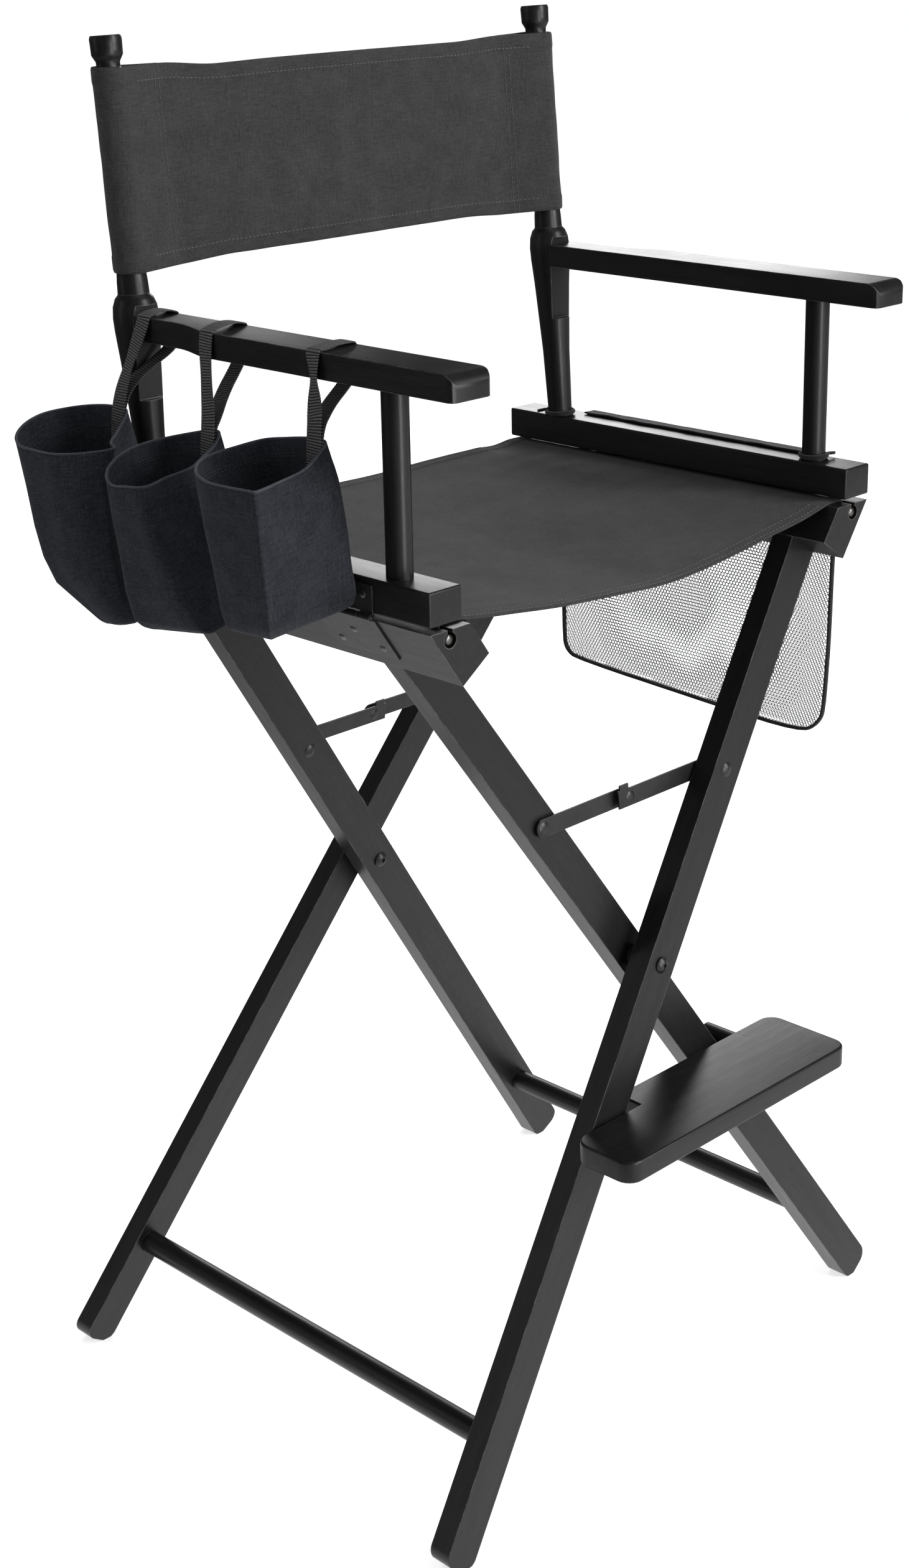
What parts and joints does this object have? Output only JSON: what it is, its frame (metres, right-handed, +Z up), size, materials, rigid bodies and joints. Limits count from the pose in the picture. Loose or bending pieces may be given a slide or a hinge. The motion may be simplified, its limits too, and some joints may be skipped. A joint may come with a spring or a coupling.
{
  "type": "folding director chair",
  "caption": "Bar-height folding director chair in black wood with canvas seat and back, footrest, armrests, three hanging tool pockets and a side mesh bag.",
  "frame": {"origin": "bottom centre of the whole chair's bounding box, on the floor; the chair's own middle plane is at x = 26.6 mm, because the hanging tool pockets on the sitter's right reach out past the feet", "axes": "+Z up, the sitter faces -Y, the sitter's right is -X"},
  "size_m": [0.6408, 0.5212, 1.1539],
  "materials": {
    "black_wood": "satin paint, grain faintly showing",
    "black_metal": "satin",
    "canvas": "woven cotton canvas",
    "pocket_fabric": "woven polyester",
    "webbing": "ribbed tape",
    "mesh": "open net with bound edge"
  },
  "bodies": {
    "arm_right": {"arm_base_r": "black_wood", "front_post_r": "black_wood", "back_post_r": "black_wood", "armrest_r": "black_wood", "hinge_upper_front_r": "black_metal", "hinge_upper_rear_r": "black_metal", "hinge_pins_r": "black_metal", "hinge_screws_upper_r": "black_metal", "pocket_front": "pocket_fabric", "pocket_mid": "pocket_fabric", "pocket_rear": "pocket_fabric", "pocket_loop_front": "webbing", "pocket_loop_mid": "webbing", "pocket_loop_rear": "webbing", "seat_canvas": "canvas", "back_canvas": "canvas"},
    "frame_right": {"seat_rail_r": "black_wood", "leg_rear_r": "black_wood", "leg_front_r": "black_wood", "stretcher_r": "black_wood", "hinge_lower_front_r": "black_metal", "hinge_lower_rear_r": "black_metal", "hinge_screws_lower_r": "black_metal", "seat_rod_r": "black_wood", "seat_rod_screws_r": "black_metal", "stay_bolts_r": "black_metal"},
    "frame_left": {"seat_rail_l": "black_wood", "leg_rear_l": "black_wood", "leg_front_l": "black_wood", "stretcher_l": "black_wood", "hinge_lower_front_l": "black_metal", "hinge_lower_rear_l": "black_metal", "hinge_screws_lower_l": "black_metal", "seat_rod_l": "black_wood", "seat_rod_screws_l": "black_metal", "stay_bolts_l": "black_metal", "pivot_bolts": "black_metal", "pivot_spacers": "black_metal", "footrest_bolt": "black_metal"},
    "arm_left": {"arm_base_l": "black_wood", "front_post_l": "black_wood", "back_post_l": "black_wood", "armrest_l": "black_wood", "hinge_upper_front_l": "black_metal", "hinge_upper_rear_l": "black_metal", "hinge_pins_l": "black_metal", "hinge_screws_upper_l": "black_metal", "mesh_bag": "mesh", "mesh_bag_band": "webbing", "mesh_bag_rings": "webbing"},
    "stay_front_link_l": {"stay_front_l": "black_metal", "stay_rivet_front": "black_metal"},
    "stay_front_link_r": {"stay_front_r": "black_metal", "stay_rivet_tail_front": "black_metal"},
    "stay_rear_link_r": {"stay_rear_r": "black_metal", "stay_rivet_rear": "black_metal"},
    "stay_rear_link_l": {"stay_rear_l": "black_metal", "stay_rivet_tail_rear": "black_metal"},
    "footrest": {"footrest_board": "black_wood", "footrest_peg": "black_wood"}
  },
  "joints": [
    {"name": "fold", "type": "hinge", "parent": "arm_right", "child": "frame_right", "pos_m": [-0.23523, 0.00586, 0.7615], "axis": [0, 1, 0], "range_deg": [0, 31], "deforming": ["seat_canvas", "back_canvas"]},
    {"name": "leg_cross", "type": "hinge", "parent": "frame_right", "child": "frame_left", "pos_m": [0.02657, 0.00586, 0.4154], "axis": [0, 1, 0], "range_deg": [-62, 0]},
    {"name": "left_arm_hinge", "type": "hinge", "parent": "frame_left", "child": "arm_left", "pos_m": [0.28837, 0.00586, 0.7615], "axis": [0, 1, 0], "range_deg": [0, 31]},
    {"name": "stay_front_l_pivot", "type": "hinge", "parent": "frame_left", "child": "stay_front_link_l", "pos_m": [0.12301, -0.1549, 0.55467], "axis": [0, 0.996, -0.0896], "range_deg": [-52.46, 0]},
    {"name": "stay_front_r_pivot", "type": "hinge", "parent": "frame_right", "child": "stay_front_link_r", "pos_m": [-0.06986, -0.1549, 0.55467], "axis": [0, 0.996, -0.0896], "range_deg": [0, 52.46]},
    {"name": "stay_rear_r_pivot", "type": "hinge", "parent": "frame_right", "child": "stay_rear_link_r", "pos_m": [-0.06986, 0.14755, 0.55467], "axis": [0, 0.9892, 0.1464], "range_deg": [0, 52.95]},
    {"name": "stay_rear_l_pivot", "type": "hinge", "parent": "frame_left", "child": "stay_rear_link_l", "pos_m": [0.12301, 0.14755, 0.55467], "axis": [0, 0.9892, 0.1464], "range_deg": [-52.95, 0]},
    {"name": "footrest_swing", "type": "hinge", "parent": "frame_left", "child": "footrest", "pos_m": [-0.05423, -0.19794, 0.2987], "axis": [0, 0.996, -0.0896], "range_deg": [0, 87.73]}
  ],
  "couplings": [
    {"joint": "leg_cross", "follows": "fold", "ratio": -2},
    {"joint": "left_arm_hinge", "follows": "fold", "ratio": 1},
    {"joint": "stay_front_l_pivot", "follows": "fold", "ratio": -1.6923},
    {"joint": "stay_front_r_pivot", "follows": "fold", "ratio": 1.6923},
    {"joint": "stay_rear_r_pivot", "follows": "fold", "ratio": 1.708},
    {"joint": "stay_rear_l_pivot", "follows": "fold", "ratio": -1.708},
    {"joint": "footrest_swing", "follows": "fold", "ratio": 2.83}
  ]
}
